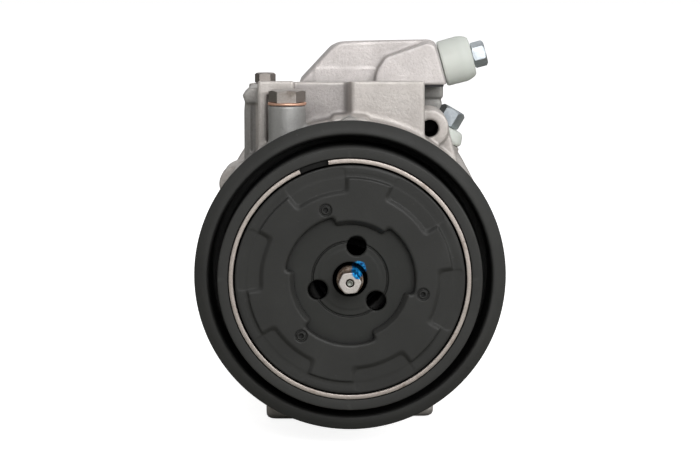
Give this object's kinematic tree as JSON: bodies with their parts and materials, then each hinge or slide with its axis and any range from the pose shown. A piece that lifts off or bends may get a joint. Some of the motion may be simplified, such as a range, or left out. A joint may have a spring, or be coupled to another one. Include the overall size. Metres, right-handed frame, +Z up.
{
  "type": "automotive ac compressor",
  "caption": "Swash-plate air-conditioning compressor with a damped ribbed belt pulley, cast housings, capped refrigerant ports, moving pistons, tilting swash plate and valves.",
  "frame": {"origin": "middle of the flat end of the shaft's hexagon", "axes": "+Y along the shaft towards the rear head, +Z up towards the ports, +X to the right as seen from the pulley"},
  "size_m": [0.1235, 0.226, 0.1575],
  "materials": {
    "cast_aluminium": "die-cast and lightly blasted, warm grey",
    "black_steel": "satin black coating",
    "black_rubber": "moulded, matte",
    "ground_steel": "ground",
    "zinc_steel": "zinc plated, slightly blue",
    "spring_steel": "stamped and polished on its flats",
    "copper": "soft annealed copper",
    "brass": "turned",
    "cap_plastic": "milky, slightly green, moulded",
    "gasket_fibre": "coated sheet",
    "bearing_cage": "moulded polyamide"
  },
  "bodies": {
    "case": {"front_housing": "cast_aluminium", "cylinder_block": "cast_aluminium", "rear_housing": "cast_aluminium", "suction_reed_plate": "spring_steel", "valve_plate": "ground_steel", "head_gasket": "gasket_fibre", "through_bolt_1": "zinc_steel", "through_bolt_2": "zinc_steel", "through_bolt_3": "zinc_steel", "through_bolt_4": "zinc_steel", "through_bolt_5": "zinc_steel", "through_bolt_6": "zinc_steel", "manifold": "cast_aluminium", "manifold_gasket": "gasket_fibre", "port_cap_upper": "cap_plastic", "port_cap_lower": "cap_plastic", "cap_bolt_upper": "zinc_steel", "cap_bolt_lower": "zinc_steel", "oil_plug": "ground_steel", "plug_washer": "copper", "top_bolt": "ground_steel", "shaft_seal": "black_rubber", "front_needle_bearing": "ground_steel", "rear_needle_bearing": "ground_steel", "bearing_inner_ring": "ground_steel", "control_valve_body": "ground_steel", "relief_valve_body": "brass"},
    "needle_cage": {"thrust_needle_cage": "ground_steel"},
    "shaft": {"drive_shaft": "ground_steel", "lug_plate": "ground_steel", "drive_hub": "black_steel", "cover_plate": "black_steel", "damper_ring": "black_rubber", "destroke_spring": "spring_steel"},
    "pulley": {"pulley": "black_steel", "bearing_outer_ring": "ground_steel", "cover_snap_ring": "spring_steel"},
    "balls": {"ball_cage": "bearing_cage"},
    "swash": {"swash_plate": "ground_steel"},
    "control_spool": {"control_valve_spool": "brass"},
    "relief_poppet": {"relief_valve_poppet": "ground_steel"},
    "check_valve": {"check_valve": "cap_plastic"},
    "piston_1": {"piston_1": "cast_aluminium"},
    "shoe_1_front": {"shoe_1_front": "brass"},
    "shoe_1_back": {"shoe_1_back": "brass"},
    "piston_2": {"piston_2": "cast_aluminium"},
    "shoe_2_front": {"shoe_2_front": "brass"},
    "shoe_2_back": {"shoe_2_back": "brass"},
    "piston_3": {"piston_3": "cast_aluminium"},
    "shoe_3_front": {"shoe_3_front": "brass"},
    "shoe_3_back": {"shoe_3_back": "brass"},
    "piston_4": {"piston_4": "cast_aluminium"},
    "shoe_4_front": {"shoe_4_front": "brass"},
    "shoe_4_back": {"shoe_4_back": "brass"},
    "piston_5": {"piston_5": "cast_aluminium"},
    "shoe_5_front": {"shoe_5_front": "brass"},
    "shoe_5_back": {"shoe_5_back": "brass"},
    "piston_6": {"piston_6": "cast_aluminium"},
    "shoe_6_front": {"shoe_6_front": "brass"},
    "shoe_6_back": {"shoe_6_back": "brass"}
  },
  "joints": [
    {"name": "needle_cage_spin", "type": "hinge", "parent": "case", "child": "needle_cage", "pos_m": [0, 0.0588, 0], "axis": [0, -1, 0], "continuous": true},
    {"name": "shaft_spin", "type": "hinge", "parent": "case", "child": "shaft", "pos_m": [0, 0.05, 0], "axis": [0, -1, 0], "continuous": true},
    {"name": "pulley_spin", "type": "hinge", "parent": "case", "child": "pulley", "pos_m": [0, 0.032, 0], "axis": [0, -1, 0], "continuous": true},
    {"name": "ball_cage_spin", "type": "hinge", "parent": "case", "child": "balls", "pos_m": [0, 0.032, 0], "axis": [0, -1, 0], "continuous": true},
    {"name": "swash_tilt", "type": "hinge", "parent": "shaft", "child": "swash", "pos_m": [0, 0.1007, 0.021], "axis": [-1, 0, 0], "range_deg": [0, 18], "deforming": ["destroke_spring"]},
    {"name": "piston_1_slide", "type": "slide", "parent": "case", "child": "piston_1", "axis": [0, 1, 0], "range_m": [-0.00667, 0]},
    {"name": "shoe_1_front_rock", "type": "hinge", "parent": "piston_1", "child": "shoe_1_front", "pos_m": [0.0365, 0.104, 0], "axis": [-1, 0, 0], "range_deg": [0, 18]},
    {"name": "shoe_1_back_rock", "type": "hinge", "parent": "piston_1", "child": "shoe_1_back", "pos_m": [0.0365, 0.104, 0], "axis": [-1, 0, 0], "range_deg": [0, 18]},
    {"name": "piston_2_slide", "type": "slide", "parent": "case", "child": "piston_2", "axis": [0, 1, 0], "range_m": [0, 0.00364]},
    {"name": "shoe_2_front_rock", "type": "hinge", "parent": "piston_2", "child": "shoe_2_front", "pos_m": [0.01825, 0.104, 0.03161], "axis": [-1, 0, 0], "range_deg": [0, 18]},
    {"name": "shoe_2_back_rock", "type": "hinge", "parent": "piston_2", "child": "shoe_2_back", "pos_m": [0.01825, 0.104, 0.03161], "axis": [-1, 0, 0], "range_deg": [0, 18]},
    {"name": "piston_3_slide", "type": "slide", "parent": "case", "child": "piston_3", "axis": [0, 1, 0], "range_m": [0, 0.00364]},
    {"name": "shoe_3_front_rock", "type": "hinge", "parent": "piston_3", "child": "shoe_3_front", "pos_m": [-0.01825, 0.104, 0.03161], "axis": [-1, 0, 0], "range_deg": [0, 18]},
    {"name": "shoe_3_back_rock", "type": "hinge", "parent": "piston_3", "child": "shoe_3_back", "pos_m": [-0.01825, 0.104, 0.03161], "axis": [-1, 0, 0], "range_deg": [0, 18]},
    {"name": "piston_4_slide", "type": "slide", "parent": "case", "child": "piston_4", "axis": [0, 1, 0], "range_m": [-0.00667, 0]},
    {"name": "shoe_4_front_rock", "type": "hinge", "parent": "piston_4", "child": "shoe_4_front", "pos_m": [-0.0365, 0.104, 0], "axis": [-1, 0, 0], "range_deg": [0, 18]},
    {"name": "shoe_4_back_rock", "type": "hinge", "parent": "piston_4", "child": "shoe_4_back", "pos_m": [-0.0365, 0.104, 0], "axis": [-1, 0, 0], "range_deg": [0, 18]},
    {"name": "piston_5_slide", "type": "slide", "parent": "case", "child": "piston_5", "axis": [0, 1, 0], "range_m": [-0.01694, 0]},
    {"name": "shoe_5_front_rock", "type": "hinge", "parent": "piston_5", "child": "shoe_5_front", "pos_m": [-0.01825, 0.104, -0.03161], "axis": [-1, 0, 0], "range_deg": [0, 18]},
    {"name": "shoe_5_back_rock", "type": "hinge", "parent": "piston_5", "child": "shoe_5_back", "pos_m": [-0.01825, 0.104, -0.03161], "axis": [-1, 0, 0], "range_deg": [0, 18]},
    {"name": "piston_6_slide", "type": "slide", "parent": "case", "child": "piston_6", "axis": [0, 1, 0], "range_m": [-0.01694, 0]},
    {"name": "shoe_6_front_rock", "type": "hinge", "parent": "piston_6", "child": "shoe_6_front", "pos_m": [0.01825, 0.104, -0.03161], "axis": [-1, 0, 0], "range_deg": [0, 18]},
    {"name": "shoe_6_back_rock", "type": "hinge", "parent": "piston_6", "child": "shoe_6_back", "pos_m": [0.01825, 0.104, -0.03161], "axis": [-1, 0, 0], "range_deg": [0, 18]},
    {"name": "control_spool_slide", "type": "slide", "parent": "case", "child": "control_spool", "axis": [0, 1, 0], "range_m": [0, 0.003]},
    {"name": "relief_poppet_slide", "type": "slide", "parent": "case", "child": "relief_poppet", "axis": [0, 1, 0], "range_m": [0, 0.002]},
    {"name": "check_valve_slide", "type": "slide", "parent": "case", "child": "check_valve", "axis": [0, 0, 1], "range_m": [0, 0.005]}
  ],
  "couplings": [
    {"joint": "shaft_spin", "follows": "needle_cage_spin", "ratio": 2},
    {"joint": "pulley_spin", "follows": "needle_cage_spin", "ratio": 2},
    {"joint": "ball_cage_spin", "follows": "needle_cage_spin", "ratio": 1.0951},
    {"joint": "piston_1_slide", "follows": "swash_tilt", "m_per_rad": -0.021179},
    {"joint": "shoe_1_front_rock", "follows": "swash_tilt", "ratio": 1},
    {"joint": "shoe_1_back_rock", "follows": "swash_tilt", "ratio": 1},
    {"joint": "piston_2_slide", "follows": "swash_tilt", "m_per_rad": 0.011514},
    {"joint": "shoe_2_front_rock", "follows": "swash_tilt", "ratio": 1},
    {"joint": "shoe_2_back_rock", "follows": "swash_tilt", "ratio": 1},
    {"joint": "piston_3_slide", "follows": "swash_tilt", "m_per_rad": 0.011514},
    {"joint": "shoe_3_front_rock", "follows": "swash_tilt", "ratio": 1},
    {"joint": "shoe_3_back_rock", "follows": "swash_tilt", "ratio": 1},
    {"joint": "piston_4_slide", "follows": "swash_tilt", "m_per_rad": -0.021179},
    {"joint": "shoe_4_front_rock", "follows": "swash_tilt", "ratio": 1},
    {"joint": "shoe_4_back_rock", "follows": "swash_tilt", "ratio": 1},
    {"joint": "piston_5_slide", "follows": "swash_tilt", "m_per_rad": -0.053871},
    {"joint": "shoe_5_front_rock", "follows": "swash_tilt", "ratio": 1},
    {"joint": "shoe_5_back_rock", "follows": "swash_tilt", "ratio": 1},
    {"joint": "piston_6_slide", "follows": "swash_tilt", "m_per_rad": -0.053871},
    {"joint": "shoe_6_front_rock", "follows": "swash_tilt", "ratio": 1},
    {"joint": "shoe_6_back_rock", "follows": "swash_tilt", "ratio": 1}
  ]
}
